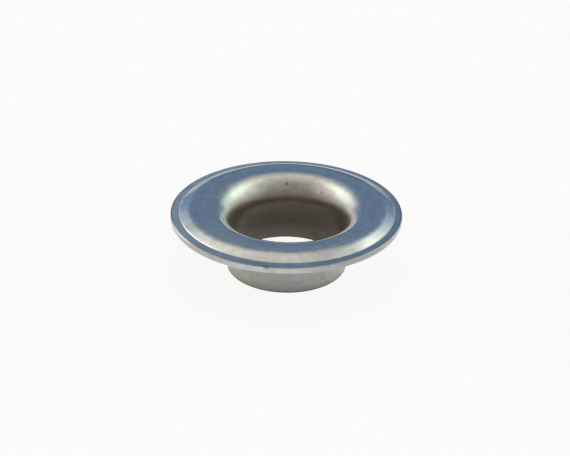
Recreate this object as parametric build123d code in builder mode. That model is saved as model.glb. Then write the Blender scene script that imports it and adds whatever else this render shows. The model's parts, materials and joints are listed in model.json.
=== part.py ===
from build123d import *
from math import atan2, sqrt, tan
import os

os.makedirs("parts", exist_ok=True)

# An eyelet pressed from one piece of thin sheet steel and then plated. A flat rim runs round a
# raised crown, and the crown rolls over into a short barrel that is open at both ends.
# Sizes are in millimetres. The origin is the centre of the barrel's end, and +Z runs up the axis
# to the flange.

# Flange
flange_diameter = 22.0
sheet_thickness = 0.70
ledge_width = 0.71
bevel_width = 0.98
bevel_height = 0.42
dome_radius = 15.25

# Throat and barrel
shank_length = 5.0
bore_diameter = 10.70
barrel_wall = 0.40
throat_roll = 2.40
least_crown = 0.50

# Bends in the sheet
bend_radius = 0.12
shoulder_radius = 1.80

# Breaks on the four cut edges
rim_top_break = 0.10
rim_under_break = 0.14
barrel_outer_break = 0.16
barrel_inner_break = 0.08

# Radii from the axis
flange_radius = flange_diameter / 2
bore_radius = bore_diameter / 2
barrel_radius = bore_radius + barrel_wall
bevel_foot_radius = flange_radius - ledge_width
bevel_top_radius = bevel_foot_radius - bevel_width

# The throat rolls from the crown into the bore like a large fillet. On a narrow flange it is
# limited by what the bevel and the least crown leave.
throat_radius = min(throat_roll, bevel_top_radius - least_crown - bore_radius)
throat_start_radius = bore_radius + throat_radius
dome_height = dome_radius - sqrt(dome_radius**2 - (bevel_top_radius - throat_start_radius) ** 2)

# Heights above the barrel's end
rim_under_height = shank_length
rim_top_height = rim_under_height + sheet_thickness
bevel_top_height = rim_top_height + bevel_height
crown_height = bevel_top_height + dome_height
throat_end_height = crown_height - throat_radius

# The sheet is as thick under the bevel as at the rim, so its lower corners lie further in
bevel_slope = atan2(bevel_height, bevel_width)
corner_shift = sheet_thickness * tan(bevel_slope / 2)

# The outside of the throat ends level with its inside, where the sheet has thinned to the wall
throat_under_height = crown_height - sheet_thickness
throat_outer_radius = throat_under_height - throat_end_height
throat_outer_start = barrel_radius + throat_outer_radius

# Corners of the section, as distance from the axis and height
rim_top = (flange_radius, rim_top_height)
rim_under = (flange_radius, rim_under_height)
bevel_foot = (bevel_foot_radius, rim_top_height)
bevel_top = (bevel_top_radius, bevel_top_height)
bevel_foot_under = (bevel_foot_radius - corner_shift, rim_under_height)
bevel_top_under = (bevel_top_radius - corner_shift, bevel_top_height - sheet_thickness)
barrel_end_inner = (bore_radius, 0)
barrel_end_outer = (barrel_radius, 0)

# Corners where the sheet is bent, each with its radius
bends = [
    (bevel_foot, bend_radius),
    (bevel_foot_under, bend_radius + sheet_thickness),
    (bevel_top, shoulder_radius),
    (bevel_top_under, shoulder_radius - sheet_thickness),
]

# Corners where the sheet was cut, each with the width of its break
edge_breaks = [
    (rim_top, rim_top_break),
    (rim_under, rim_under_break),
    (barrel_end_outer, barrel_outer_break),
    (barrel_end_inner, barrel_inner_break),
]

# The eyelet is one drawn sheet, so it is one section turned about the axis
with BuildPart() as eyelet:
    with BuildSketch(Plane.XZ) as section:
        with BuildLine():
            # Upper side, from the rim inwards, down the throat and along the bore
            Polyline(rim_top, bevel_foot, bevel_top)
            TangentArc((throat_start_radius, crown_height), bevel_top, tangent=(1, 0))
            CenterArc((throat_start_radius, throat_end_height), throat_radius, 90, 90)
            Line((bore_radius, throat_end_height), barrel_end_inner)
            # Lower side, back up the barrel and out to the rim
            Polyline(barrel_end_inner, barrel_end_outer, (barrel_radius, throat_end_height))
            CenterArc((throat_outer_start, throat_end_height), throat_outer_radius, 90, 90)
            TangentArc((throat_outer_start, throat_under_height), bevel_top_under, tangent=(1, 0))
            Polyline(bevel_top_under, bevel_foot_under, rim_under, rim_top)
        make_face()
        for corner, radius in bends:
            fillet(section.vertices().sort_by_distance(corner)[0], radius=radius)
        for corner, width in edge_breaks:
            chamfer(section.vertices().sort_by_distance(corner)[0], length=width)
    revolve(axis=Axis.Z)
eyelet.part.label = "eyelet"

export_step(eyelet.part, "parts/eyelet.step")
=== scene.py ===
import json
from math import atan2, cos, hypot, pi, radians, sin, sqrt, tan

import bpy
from mathutils import Euler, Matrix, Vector


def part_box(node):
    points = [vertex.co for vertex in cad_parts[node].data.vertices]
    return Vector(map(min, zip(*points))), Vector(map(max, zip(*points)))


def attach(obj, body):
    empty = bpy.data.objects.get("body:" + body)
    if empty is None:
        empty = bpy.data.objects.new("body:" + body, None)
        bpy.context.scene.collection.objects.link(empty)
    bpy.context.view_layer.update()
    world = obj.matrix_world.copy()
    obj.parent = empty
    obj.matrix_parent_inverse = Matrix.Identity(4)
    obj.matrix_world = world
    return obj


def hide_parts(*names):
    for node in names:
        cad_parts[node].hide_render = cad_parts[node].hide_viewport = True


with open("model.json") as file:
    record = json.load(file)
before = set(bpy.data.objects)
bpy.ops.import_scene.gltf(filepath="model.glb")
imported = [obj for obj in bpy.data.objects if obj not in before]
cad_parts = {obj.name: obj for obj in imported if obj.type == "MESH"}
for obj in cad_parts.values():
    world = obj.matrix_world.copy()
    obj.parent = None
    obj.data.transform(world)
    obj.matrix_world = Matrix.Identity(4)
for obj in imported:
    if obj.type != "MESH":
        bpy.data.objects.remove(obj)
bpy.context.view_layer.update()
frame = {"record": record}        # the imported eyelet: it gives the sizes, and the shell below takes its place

# Camera
# A long lens looks down at the eyelet from the front, at the height and distance from which the
# flange's two edges narrow towards the back as they do in the reference view.
picture_width = 570
sensor_width = 36.0
view_distance = 0.150
view_elevation = radians(27.46)
view_roll = radians(0.71)
pixels_per_metre = 10525.0
rim_centre = Vector((0.0, 0.0, 0.0057))
aim = Vector((-0.00011, 0.0, 0.00386))

camera_place = rim_centre + view_distance * Vector((0.0, -cos(view_elevation), sin(view_elevation)))
bpy.ops.object.camera_add(location=camera_place)
camera = bpy.context.object
camera.name = "camera"
towards_aim = (aim - camera_place).to_track_quat("-Z", "Y")
camera.rotation_euler = (towards_aim @ Euler((0.0, 0.0, view_roll)).to_quaternion()).to_euler()
camera.data.sensor_width = sensor_width
camera.data.lens = pixels_per_metre * view_distance * sensor_width / picture_width
camera.data.clip_start = 0.01
camera.data.clip_end = 20.0
bpy.context.scene.camera = camera
bpy.context.scene.view_settings.view_transform = "Standard"


# Floor
# The eyelet stands on a sheet of white card, rolled out well past the edges of every view. The card
# keeps the eyelet's shadow, and is lifted most of the way to plain white where it is looked at.
floor_width = 8.0
card_colour = (0.93, 0.93, 0.925, 1.0)
plain_white = (1.0, 1.0, 1.0, 1.0)
whitening = 0.90         # how far the card is lifted to plain white where it is looked at


class Wire:
    """One output of a shader node. Sums and products of wires add the Math nodes for them."""

    def __init__(self, tree, socket):
        self.tree = tree
        self.socket = socket

    @classmethod
    def node(cls, tree, kind, settings=None, sockets=None, output=0):
        """Add a node: its settings first, then the values or wires of its sockets."""
        made = tree.nodes.new(kind)
        for name, value in (settings or {}).items():
            if name == "stops":
                cls.set_stops(made.color_ramp, value)
            else:
                setattr(made, name, value)
        for name, value in (sockets or {}).items():
            if isinstance(value, Wire):
                tree.links.new(value.socket, made.inputs[name])
            else:
                made.inputs[name].default_value = value
        return cls(tree, made.outputs[output] if made.outputs else None)

    @staticmethod
    def set_stops(colour_ramp, stops):
        while len(colour_ramp.elements) < len(stops):
            colour_ramp.elements.new(1.0)
        for element, (place, colour) in zip(colour_ramp.elements, stops):
            element.position = place
            element.color = (*colour, 1.0)

    def math(self, operation, *others):
        """A Math node on this wire and others."""
        sockets = dict(enumerate((self, *others)))
        return self.node(self.tree, "ShaderNodeMath", {"operation": operation}, sockets)

    def vector(self, operation, *others, output=0):
        """A Vector Math node on this wire and others."""
        sockets = dict(enumerate((self, *others)))
        return self.node(self.tree, "ShaderNodeVectorMath", {"operation": operation}, sockets, output)

    def __add__(self, other):
        return self.math("ADD", other)

    def __radd__(self, other):
        return self.math("ADD", other)

    def __sub__(self, other):
        return self.math("SUBTRACT", other)

    def __rsub__(self, other):
        return Wire.node(self.tree, "ShaderNodeMath", {"operation": "SUBTRACT"}, {0: other, 1: self})

    def __mul__(self, other):
        return self.math("MULTIPLY", other)

    def __rmul__(self, other):
        return self.math("MULTIPLY", other)

    def __neg__(self):
        return self.math("MULTIPLY", -1)

    def __truediv__(self, other):
        return self.math("DIVIDE", other)

    def beside(self, output):
        """Another output of the node that this wire comes from."""
        return Wire(self.tree, self.socket.node.outputs[output])

    def split(self):
        """The three parts of a vector."""
        first = self.node(self.tree, "ShaderNodeSeparateXYZ", sockets={0: self})
        return first, first.beside("Y"), first.beside("Z")

    def between(self, low, high):
        """0 below low, 1 above high, and a smooth rise from one to the other."""
        settings = {"interpolation_type": "SMOOTHSTEP"}
        sockets = {"Value": self, "From Min": low, "From Max": high}
        return self.node(self.tree, "ShaderNodeMapRange", settings, sockets)


def new_material(name):
    """A material without nodes, and its empty tree."""
    material = bpy.data.materials.new(name)
    material.use_nodes = True
    material.node_tree.nodes.clear()
    return material, material.node_tree


bpy.ops.object.select_all(action="DESELECT")
bpy.ops.mesh.primitive_plane_add(size=floor_width)
floor = bpy.context.object
floor.name = "floor"

floor_material, tree = new_material("white_card")
rays = Wire.node(tree, "ShaderNodeLightPath", output="Is Camera Ray")
seen = rays + rays.beside("Is Glossy Ray") + rays.beside("Is Transmission Ray")
card = Wire.node(tree, "ShaderNodeBsdfDiffuse", sockets={"Color": card_colour})
white = Wire.node(tree, "ShaderNodeEmission", sockets={"Color": plain_white, "Strength": 1.0})
whitened = Wire.node(tree, "ShaderNodeMixShader", sockets={0: seen * whitening, 1: card, 2: white})
Wire.node(tree, "ShaderNodeOutputMaterial", sockets={"Surface": whitened})
floor.data.materials.append(floor_material)


# Light
# A tent of soft light: the wall behind the eyelet is blue-grey, the roof warm white and the camera's
# side grey. Three soft lights hang to the right and three to the left, and a white skirt runs round
# the foot.
roof_stops = [           # from level at the back, over the top, to level at the camera's side
    (0.00, (0.22, 0.32, 0.45)),
    (0.06, (0.18, 0.28, 0.41)),
    (0.16, (0.17, 0.26, 0.39)),
    (0.205, (0.21, 0.29, 0.40)),
    (0.25, (0.38, 0.44, 0.48)),
    (0.31, (0.62, 0.64, 0.60)),
    (0.38, (0.77, 0.76, 0.68)),
    (0.44, (0.74, 0.73, 0.65)),
    (0.50, (0.58, 0.56, 0.48)),
    (0.60, (0.44, 0.42, 0.37)),
    (1.00, (0.40, 0.385, 0.36)),
]
skirt_colour = (0.95, 0.95, 0.95, 1.0)
skirt_top = radians(5.3)
skirt_fade = radians(2)
soft_lights = [          # azimuth from the right over the back, elevation, reach and colour
    (radians(0), radians(36), radians(58), (0.88, 0.96, 0.85, 1.0)),
    (radians(-178), radians(36), radians(58), (0.86, 0.85, 0.78, 1.0)),
    (radians(47), radians(15), radians(25), (0.86, 0.94, 0.86, 1.0)),
    (radians(131), radians(15), radians(25), (0.82, 0.82, 0.78, 1.0)),
    (radians(30), radians(42), radians(40), (1.64, 1.83, 1.62, 1.0)),
    (radians(147), radians(41), radians(42), (1.76, 1.78, 1.60, 1.0)),
]
soft_fall = [(0.0, 1.0), (0.20, 0.90), (0.35, 0.66), (0.50, 0.32), (0.65, 0.14), (0.80, 0.04), (1.0, 0.0)]
flattening = (1.0, 1.0, 0.65)    # the lights are taller than they are wide


def ramp(tree, stops, place):
    """The colour or grey that a list of stops gives at this place, from 0 to 1."""
    colours = [(at, value if isinstance(value, tuple) else (value,) * 3) for at, value in stops]
    return Wire.node(tree, "ShaderNodeValToRGB", {"stops": colours}, {0: place})


def mix_colours(tree, share, first, second):
    """Share 0 gives the first colour, share 1 the second."""
    sockets = {0: share, 6: first, 7: second}    # 6 and 7 are the node's two colours
    return Wire.node(tree, "ShaderNodeMix", {"data_type": "RGBA"}, sockets, output=2)


world = bpy.data.worlds.new("studio")
bpy.context.scene.world = world
world.use_nodes = True
tree = world.node_tree
tree.nodes.clear()
outward = Wire.node(tree, "ShaderNodeTexCoord", output="Generated")
away, upward = outward.split()[1:]
glow = ramp(tree, roof_stops, upward.math("ARCTAN2", away) / pi)
flat = outward.vector("MULTIPLY", flattening).vector("NORMALIZE")
for azimuth, elevation, soft_reach, colour in soft_lights:
    centre = Vector((cos(azimuth) * cos(elevation), sin(azimuth) * cos(elevation), sin(elevation)))
    centre = Vector([part * scale for part, scale in zip(centre, flattening)]).normalized()
    aside = flat.vector("DOT_PRODUCT", centre, output="Value").math("ARCCOSINE") / soft_reach
    glow = mix_colours(tree, ramp(tree, soft_fall, aside), glow, colour)
above_skirt = upward.between(sin(skirt_top), sin(skirt_top + skirt_fade))
glow = mix_colours(tree, above_skirt, skirt_colour, glow)
tent = Wire.node(tree, "ShaderNodeBackground", sockets={"Color": glow, "Strength": 1.0})
Wire.node(tree, "ShaderNodeOutputWorld", sockets={"Surface": tent})


# Eyelet
# One disc of soft sheet steel, blanked, pressed into a crown and drawn down into an open barrel,
# then tumbled and zinc plated. The sheet thins towards the barrel's end. It stands on that end.
mm_per_metre = 1000
mounts = {mount["name"]: mount for mount in frame["record"]["mounts"]}
eyelet_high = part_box("eyelet")[1]
flange_radius = eyelet_high[0]
crown_height = eyelet_high[2]
bore_radius = mounts["bore"]["dims"]["r_mm"] / mm_per_metre
barrel_radius = mounts["shank"]["dims"]["r_mm"] / mm_per_metre
rim_under_height = mounts["flange_seat"]["pos_m"][2]

sheet = 0.00070
ledge_width = 0.00071
bevel_width = 0.00098
bevel_height = 0.00042
riser_width = 0.00007
riser_height = 0.00006
riser_round = 0.00010
throat_roll = 0.00240
rim_top_round = 0.00010
rim_under_round = 0.00030
barrel_outer_round = 0.00016
barrel_inner_round = 0.00008
bend_radius = 0.00012
shoulder_radius = 0.00180
round_steps = 6
points_around = 360
shifts_across = [        # a ring's radius, and how far to the right its centre lies
    (0.00535, 0.00022), (0.00775, 0.00022), (0.00900, 0.00007), (0.01035, 0.00007), (0.01085, 0.0),
]
shifts_back = [          # a ring's radius, and how far to the back its centre lies
    (0.00535, 0.0), (0.00775, 0.0), (0.00900, 0.00019), (0.01035, 0.00019), (0.01085, 0.0),
]
barrel_end_shift = 0.00006

rim_top_height = rim_under_height + sheet
bevel_foot_radius = flange_radius - ledge_width
bevel_top_radius = bevel_foot_radius - bevel_width
bevel_top_height = rim_top_height + bevel_height
throat_start_radius = bore_radius + throat_roll
throat_end_height = crown_height - throat_roll
bevel_slope = atan2(bevel_height, bevel_width)
riser_slope = atan2(riser_height, riser_width)
riser_top_radius = bevel_foot_radius - riser_width
riser_top_height = rim_top_height + riser_height
upper_bevel_slope = atan2(bevel_height - riser_height, bevel_width - riser_width)
corner_shift = sheet * tan(bevel_slope / 2)
throat_under_roll = throat_roll - sheet
throat_under_start = barrel_radius + throat_under_roll
foot_round = bend_radius / 3


def eased(stops, value):
    """A value read off a list of stops, with smooth steps between them."""
    if value <= stops[0][0]:
        return stops[0][1]
    for (start, low), (end, high) in zip(stops, stops[1:]):
        if value <= end:
            share = (value - start) / (end - start)
            return low + (high - low) * share * share * (3 - 2 * share)
    return stops[-1][1]


def ring_centre(radius, height):
    """Where a ring of this radius and height is centred. Crown and throat sit off the blank's centre."""
    share = min(height / throat_end_height, 1.0)
    across = barrel_end_shift + (eased(shifts_across, radius) - barrel_end_shift) * share
    return across, eased(shifts_back, radius) * share


def straight(start, end, steps):
    """Rings evenly spaced from one ring, left out, to the next."""
    return [
        (start[0] + (end[0] - start[0]) * i / steps, start[1] + (end[1] - start[1]) * i / steps)
        for i in range(1, steps + 1)
    ]


def rolled(start_radius, end_height, roll, steps):
    """Rings of a throat, from level at the crown to upright in the barrel."""
    return [
        (start_radius - roll * sin(pi / 2 * i / steps), end_height + roll * cos(pi / 2 * i / steps))
        for i in range(steps + 1)
    ]


def domed(outer, inner, steps):
    """Rings of the crown between its outer and inner ring, level at the inner one."""
    width = outer[0] - inner[0]
    rise = inner[1] - outer[1]
    dome_radius = (width**2 + rise**2) / (2 * rise)
    rings = []
    for i in range(1, steps):
        out = width * (1 - i / steps)
        rings.append((inner[0] + out, inner[1] - dome_radius + sqrt(dome_radius**2 - out**2)))
    return rings


rim_top = (flange_radius, rim_top_height)
rim_under = (flange_radius, rim_under_height)
bevel_foot = (bevel_foot_radius, rim_top_height)
riser_top = (riser_top_radius, riser_top_height)
bevel_top = (bevel_top_radius, bevel_top_height)
bevel_foot_under = (bevel_foot_radius - corner_shift, rim_under_height)
bevel_top_under = (bevel_top_radius - corner_shift, bevel_top_height - sheet)
throat_start = (throat_start_radius, crown_height)
throat_under_top = (throat_under_start, crown_height - sheet)
barrel_end_inner = (bore_radius, 0.0)
barrel_end_outer = (barrel_radius, 0.0)

upper_rings = (
    straight(rim_top, bevel_foot, steps=4)
    + straight(bevel_foot, riser_top, steps=1)
    + straight(riser_top, bevel_top, steps=2)
    + domed(bevel_top, throat_start, steps=5)
    + rolled(throat_start_radius, throat_end_height, throat_roll, steps=32)
    + straight((bore_radius, throat_end_height), barrel_end_inner, steps=14)
)
lower_rings = (
    straight(barrel_end_inner, barrel_end_outer, steps=1)
    + straight(barrel_end_outer, (barrel_radius, throat_end_height), steps=14)
    + rolled(throat_under_start, throat_end_height, throat_under_roll, steps=22)[-2::-1]
    + domed(bevel_top_under, throat_under_top, steps=4)[::-1]
    + [bevel_top_under]
    + straight(bevel_top_under, bevel_foot_under, steps=3)
    + straight(bevel_foot_under, rim_under, steps=2)
)

bpy.ops.object.select_all(action="DESELECT")
bpy.ops.mesh.primitive_circle_add(vertices=points_around, radius=rim_top[0], location=(0, 0, rim_top[1]))
shell = bpy.context.object
shell.name = "eyelet_shell"
bpy.ops.object.transform_apply(location=True, rotation=True, scale=True)
bpy.ops.object.mode_set(mode="EDIT")
bpy.ops.mesh.select_all(action="SELECT")
last_radius, last_height = rim_top
last_centre = ring_centre(*rim_top)
for radius, height in upper_rings + lower_rings:
    growth = radius / last_radius
    centre = ring_centre(radius, height)
    bpy.ops.mesh.extrude_edges_move()
    bpy.ops.transform.resize(value=(growth, growth, 1.0), center_override=(*last_centre, 0.0))
    bpy.ops.transform.translate(
        value=(centre[0] - last_centre[0], centre[1] - last_centre[1], height - last_height)
    )
    last_radius, last_height, last_centre = radius, height, centre
# The last ring is joined to the first, which closes the section.
bpy.ops.mesh.select_all(action="DESELECT")
bpy.ops.mesh.select_non_manifold()
bpy.ops.mesh.bridge_edge_loops()
bpy.ops.mesh.select_all(action="SELECT")
bpy.ops.mesh.remove_doubles(threshold=1e-7)
bpy.ops.mesh.normals_make_consistent(inside=False)


def select_ring(ring, reach=2e-6):
    """Select the one ring of edges that lies at this radius and height."""
    bpy.ops.mesh.select_all(action="DESELECT")
    bpy.ops.object.mode_set(mode="OBJECT")
    centre = ring_centre(*ring)
    for vertex in shell.data.vertices:
        radius = hypot(vertex.co.x - centre[0], vertex.co.y - centre[1])
        vertex.select = abs(radius - ring[0]) < reach and abs(vertex.co.z - ring[1]) < reach
    bpy.ops.object.mode_set(mode="EDIT")


def round_corner(ring, radius, turn):
    """Round a corner of the section that turns by this angle."""
    select_ring(ring)
    bpy.ops.mesh.bevel(
        offset=radius * tan(turn / 2), offset_type="OFFSET", segments=round_steps, profile=0.5,
        affect="EDGES", clamp_overlap=False,
    )


square = pi / 2
dome_slope = 2 * atan2(crown_height - bevel_top_height, bevel_top_radius - throat_start_radius)
round_corner(rim_top, rim_top_round, square)
round_corner(rim_under, rim_under_round, square)
round_corner(barrel_end_outer, barrel_outer_round, square)
round_corner(barrel_end_inner, barrel_inner_round, square)
round_corner(bevel_foot, foot_round, riser_slope)
round_corner(riser_top, riser_round, riser_slope - upper_bevel_slope)
round_corner(bevel_foot_under, bend_radius + sheet, bevel_slope)
round_corner(bevel_top, shoulder_radius, upper_bevel_slope - dome_slope)
round_corner(bevel_top_under, shoulder_radius - sheet, bevel_slope - dome_slope)
bpy.ops.object.mode_set(mode="OBJECT")

# Each vertex is told how far along the section it lies, in mm from the rim's upper corner inwards,
# so that the finish can follow the sheet.
section = [rim_top] + upper_rings + lower_rings + [rim_top]
section_starts = [0.0]
for start, end in zip(section, section[1:]):
    run = mm_per_metre * hypot(end[0] - start[0], end[1] - start[1])
    section_starts.append(section_starts[-1] + run)
section_length = section_starts[-1]


def place_along(ring):
    """How far along the section, in mm, the nearest place to this ring lies."""
    nearest, found = 1.0, 0.0
    for start, end, passed in zip(section, section[1:], section_starts):
        run = (end[0] - start[0], end[1] - start[1])
        reach = (ring[0] - start[0], ring[1] - start[1])
        share = (run[0] * reach[0] + run[1] * reach[1]) / (run[0] ** 2 + run[1] ** 2)
        share = min(max(share, 0.0), 1.0)
        gap = hypot(reach[0] - share * run[0], reach[1] - share * run[1])
        if gap < nearest:
            nearest, found = gap, passed + mm_per_metre * share * hypot(*run)
    return found


ring_places = {}         # looked up once for each ring
along_values = []
for vertex in shell.data.vertices:
    centre = ring_centre(hypot(vertex.co.x, vertex.co.y), vertex.co.z)
    ring = (round(hypot(vertex.co.x - centre[0], vertex.co.y - centre[1]), 5), round(vertex.co.z, 6))
    if ring not in ring_places:
        ring_places[ring] = place_along(ring)
    along_values.append(ring_places[ring])
shell.data.attributes.new("along", "FLOAT", "POINT").data.foreach_set("value", along_values)

bpy.ops.object.shade_smooth()
bpy.ops.object.modifier_add(type="WEIGHTED_NORMAL")
bpy.ops.object.modifier_apply(modifier=shell.modifiers[-1].name)

# Bright on the flange, with painted shade darkening the throat into a dark brown bore and the barrel
# towards its foot. Fine rings are left from drawing, cross marks on the blanked edge, and nicks from tumbling.
tone_stops = [           # how far along the section, in mm, and the colour there; past 5.4 mm it is painted shade
    (0.0, (0.60, 0.61, 0.62)),
    (0.9, (0.62, 0.62, 0.61)),
    (4.7, (0.62, 0.62, 0.60)),
    (5.4, (0.55, 0.53, 0.50)),
    (6.1, (0.385, 0.355, 0.315)),
    (6.55, (0.24, 0.21, 0.175)),
    (7.2, (0.135, 0.115, 0.092)),
    (8.0, (0.085, 0.071, 0.057)),
    (9.1, (0.070, 0.057, 0.046)),
    (9.8, (0.105, 0.093, 0.074)),
    (10.9, (0.150, 0.142, 0.120)),
    (11.3, (0.22, 0.21, 0.19)),
    (12.2, (0.295, 0.295, 0.275)),
    (14.0, (0.365, 0.365, 0.345)),
    (17.0, (0.42, 0.425, 0.41)),
    (21.2, (0.48, 0.48, 0.47)),
    (21.5, (0.53, 0.54, 0.53)),
]
marks = [                # where on the eyelet, in mm, how large, and how dark or, below 0, how light
    ((0.0, 6.09, 5.54), 0.24, 0.50),
    ((0.70, 6.00, 5.48), 0.60, 0.12),
    ((3.47, 4.85, 5.26), 0.24, 0.30),
    ((3.05, 5.08, 5.26), 0.32, -0.22),
    ((3.01, 4.44, 0.32), 0.90, 0.22),
    ((-1.75, -10.85, 5.66), 0.36, 0.38),
    ((-2.30, -10.76, 5.56), 0.35, -0.15),
    ((-3.30, -4.70, 1.05), 0.30, 0.14),
    ((3.44, -4.65, 1.23), 0.50, 0.12),
]
metallic_stops = [(0.0, 1.0), (5.2, 1.0), (7.0, 0.45), (10.9, 0.45), (12.4, 0.9), (15.0, 1.0)]
roughness_stops = [
    (0.0, 0.13), (1.0, 0.13), (4.2, 0.14), (5.2, 0.22), (6.6, 0.32), (10.9, 0.38), (12.0, 0.36),
    (19.0, 0.36), (21.6, 0.27),
]
patch_shift = (31.0, 17.0, 5.0)    # keeps the green patches apart from the warm ones


def tinted(tree, colour, tint):
    """The colour times the tint, which may be a wire or three numbers."""
    tint = tint if isinstance(tint, Wire) else (*tint, 1.0)
    settings = {"data_type": "RGBA", "blend_type": "MULTIPLY"}
    return Wire.node(tree, "ShaderNodeMix", settings, {0: 1.0, 6: colour, 7: tint}, output=2)


def noise(place, scale, detail, roughness=0.55):
    """Cloudy noise around 0, from about -0.5 to 0.5."""
    sockets = {"Vector": place, "Scale": scale, "Detail": detail, "Roughness": roughness}
    return Wire.node(place.tree, "ShaderNodeTexNoise", sockets=sockets) - 0.5


def joined(x, y, z):
    """A vector, or a grey where all three are the same wire."""
    return Wire.node(x.tree, "ShaderNodeCombineXYZ", sockets={"X": x, "Y": y, "Z": z})


metal, tree = new_material("zinc_plate")
place = Wire.node(tree, "ShaderNodeTexCoord", output="Object")
place = place.vector("MULTIPLY", (mm_per_metre,) * 3)
x, y, z = place.split()
off_axis = (x * x + y * y).math("SQRT")
around_x, around_y = x / off_axis, y / off_axis
along = Wire.node(tree, "ShaderNodeAttribute", {"attribute_name": "along"}, output="Fac")
share_along = along / section_length


def streaks(pace, across_them, detail, roughness=0.55):
    """Noise that runs round the eyelet at this pace: the slower, the longer its streaks."""
    stretched = joined(around_x * pace, around_y * pace, across_them)
    return noise(stretched, scale=1.0, detail=detail, roughness=roughness)


def band(start, started, ending, end):
    """1 on a stretch of the section, with a smooth start and a smooth end, all in mm along it."""
    return along.between(start, started) * (1 - along.between(ending, end))


def side(degrees, reach):
    """1 on this side, in degrees from the right over the back, and 0 from reach degrees off."""
    turned = around_x * cos(radians(degrees)) + around_y * sin(radians(degrees))
    return turned.between(cos(radians(reach)), 1.0)


def shares(stops):
    """The stops with their places as shares of the section."""
    return [(reach / section_length, value) for reach, value in stops]


rings = streaks(2.4, along * 9, detail=4.0, roughness=0.6)
fine_rings = streaks(7, along * 30, detail=2.0)
cross_marks = streaks(70, z * 1.5, detail=3.0)
blanked = band(section_length - 0.68, section_length - 0.55, section_length - 0.1, section_length)
clouds = noise(place, scale=1.3, detail=6.0, roughness=0.62)
grain = noise(place, scale=13.0, detail=3.0)
waves = noise(place, scale=0.33, detail=1.0)
warm_patches = noise(place, scale=0.55, detail=2.0).between(-0.05, 0.16)
green_patches = noise(place.vector("ADD", patch_shift), scale=0.50, detail=2.0).between(-0.02, 0.18)
wear_and_painted_light = 1 + clouds * 0.60 + rings * 0.36 + fine_rings * 0.20 + grain * 0.10 + cross_marks * blanked * 0.2

# Painted light and shade, uneven all round: the back of the bevel gets painted shade and a bluer painted
# reflection, and the rim's corner, the near lip of the throat and the barrel's end get painted shade.
on_bevel = band(0.64, 0.74, 1.45, 2.05)
further_in = around_y.between(0.45, 0.88) * 0.48 + side(34, 26) * 0.20 + side(150, 22) * 0.08
on_back = along.between(0.64, 0.74) * (1 - (along - further_in).between(1.27, 1.87))
behind = around_y.between(-0.35, 0.45)
squared = around_x * around_x
shoulders = squared.between(0.30, 0.62) * (1 - squared.between(0.86, 0.97))
# Painted light on the bevel: a little lighter all round, a painted highlight on its front right and its two
# ends, painted shade on its front and front left, and painted shade on its back.
bevel_front_painted_light = side(332, 26) * 0.55 - side(216, 34) * 0.16 - side(299, 24) * 0.26
bevel_end_painted_highlights = side(180, 26) * 0.38 + side(163, 15) * 0.30 + side(0, 20) * 0.30
bevel_back_painted_shade = behind * 0.60 + shoulders * behind * 0.15 + side(36, 26) * 0.06 + side(151, 18) * 0.06
wear_and_painted_light = wear_and_painted_light * (1 + on_bevel * (0.10 + bevel_front_painted_light + bevel_end_painted_highlights) - on_back * bevel_back_painted_shade)
# Painted light on the riser: a painted highlight, weaker at the back, and painted shade on its right and left
# ends and its front left.
riser = band(0.66, 0.72, 0.80, 0.86)
riser_painted_light = 0.28 - around_x.between(0.40, 0.85) * 0.84 - side(242, 16) * 0.40 - side(185, 18) * 0.60
wear_and_painted_light = wear_and_painted_light * (1 + riser * (1 - behind * 0.6) * riser_painted_light)
# Painted highlights on the ledge at the left back and on four other sides, and a little painted shade
# elsewhere.
on_ledge = band(0.04, 0.20, 0.62, 0.70)
left_back = (around_y * 0.62 - around_x * 0.78).between(-0.25, 0.45)
ledge_painted_highlights = side(240, 14) * 0.18 + side(36, 28) * 0.20 + side(119, 18) * 0.14 + side(270, 14) * 0.12
wear_and_painted_light = wear_and_painted_light * (1 + on_ledge * (left_back * 0.30 - 0.04 + ledge_painted_highlights))
# Painted shade on the rim's corner, deeper at the back, turned to a painted highlight on its front left.
rim_corner = 1 - band(0.05, 0.26, section_length - 0.10, section_length)
wear_and_painted_light = wear_and_painted_light * (1 - rim_corner * (0.38 + behind * 0.22 - side(206, 16) * 0.95))
# Painted shade on the rim's edge at the front right and front left.
on_edge = along.between(section_length - 0.75, section_length - 0.55) * (1 - rim_corner)
wear_and_painted_light = wear_and_painted_light * (1 - on_edge * (side(306, 34) * 0.26 + side(225, 20) * 0.14))
# Painted shade on the near lip of the throat.
near_lip = band(3.5, 3.9, 4.3, 4.7) * (-around_y).between(0.30, 0.92)
wear_and_painted_light = wear_and_painted_light * (1 - near_lip * 0.52)
# Painted highlights down the barrel's left and right sides.
on_barrel = band(10.9, 11.6, 15.5, 17.0)
wear_and_painted_light = wear_and_painted_light * (1 + on_barrel * squared * 0.55)
# Painted shade at the barrel's foot.
barrel_foot = band(10.7, 10.9, 11.34, 11.62)
wear_and_painted_light = wear_and_painted_light * (1 - barrel_foot * 0.62)

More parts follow.
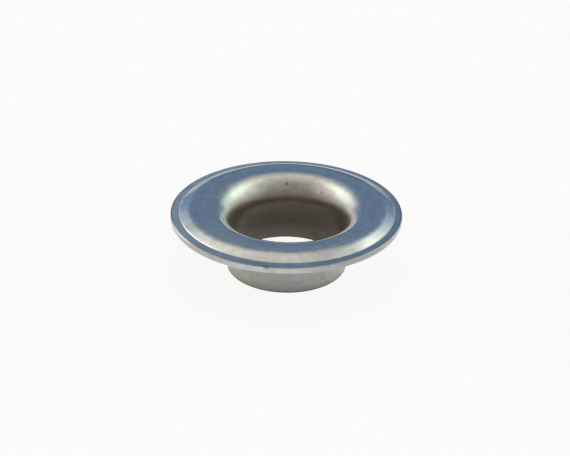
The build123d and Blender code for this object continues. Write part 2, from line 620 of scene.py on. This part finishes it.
specks = 0
for spot, size, depth in marks:
    ragged = place.vector("DISTANCE", spot, output="Value") + grain * (size * 0.8)
    specks = (1 - ragged.between(size * 0.35, size)) * depth + specks
shade = wear_and_painted_light * (1 - specks)
tone = tinted(tree, ramp(tree, shares(tone_stops), share_along), joined(shade, shade, shade))

on_crown = band(1.8, 2.4, 3.5, 3.9)
patchy = 0.5 + on_crown * 0.5
in_throat = band(3.6, 4.2, 5.6, 6.6)
in_bore = band(5.6, 7.0, 10.9, 11.1)
tints_and_painted_reflections = [                # where it is tinted, and how much red, green and blue are left there: first the plating's patches, then painted reflections
    (warm_patches * patchy, (1.05, 0.93, 1.06)),
    (green_patches * patchy, (0.92, 1.03, 0.98)),
    # Painted reflection colours from here on, and a clouded brown tint on the bore's painted shade.
    (on_ledge * left_back * 0.8, (1.11, 1.02, 0.95)),
    (on_crown * side(224, 30), (1.12, 1.08, 1.00)),
    (on_ledge * side(224, 42), (1.03, 0.96, 0.88)),
    (rim_corner * behind, (1.08, 1.00, 0.92)),
    (on_back * behind, (0.78, 0.95, 1.10)),
    (in_throat * side(180, 55), (0.93, 1.02, 0.96)),
    (in_bore * (0.5 + clouds * 1.6), (1.14, 0.99, 0.88)),
    (on_barrel * (-around_x).between(0.15, 0.75), (1.00, 1.01, 0.89)),
    (on_barrel * around_x.between(0.15, 0.75), (0.94, 1.03, 0.99)),
]
for where, tint in tints_and_painted_reflections:
    tone = mix_colours(tree, where, tone, tinted(tree, tone, tint))

metallic = ramp(tree, shares(metallic_stops), share_along)
roughness = ramp(tree, shares(roughness_stops), share_along)
roughness = roughness + clouds * 0.10 + rings * 0.05 + on_ledge * left_back * 0.08
# How far the surface stands out, in mm
lift = waves * 0.030 + clouds * 0.0030 + rings * 0.0012 + fine_rings * 0.0004 + grain * 0.0004
lift = lift - specks * 0.006 + cross_marks * blanked * 0.0012
relief = Wire.node(
    tree, "ShaderNodeBump", sockets={"Strength": 1.0, "Distance": 1 / mm_per_metre, "Height": lift},
)
surface = Wire.node(
    tree, "ShaderNodeBsdfPrincipled",
    sockets={"Base Color": tone, "Metallic": metallic, "Roughness": roughness, "Normal": relief},
)
Wire.node(tree, "ShaderNodeOutputMaterial", sockets={"Surface": surface})
shell.data.materials.append(metal)
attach(shell, "root")
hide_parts("eyelet")
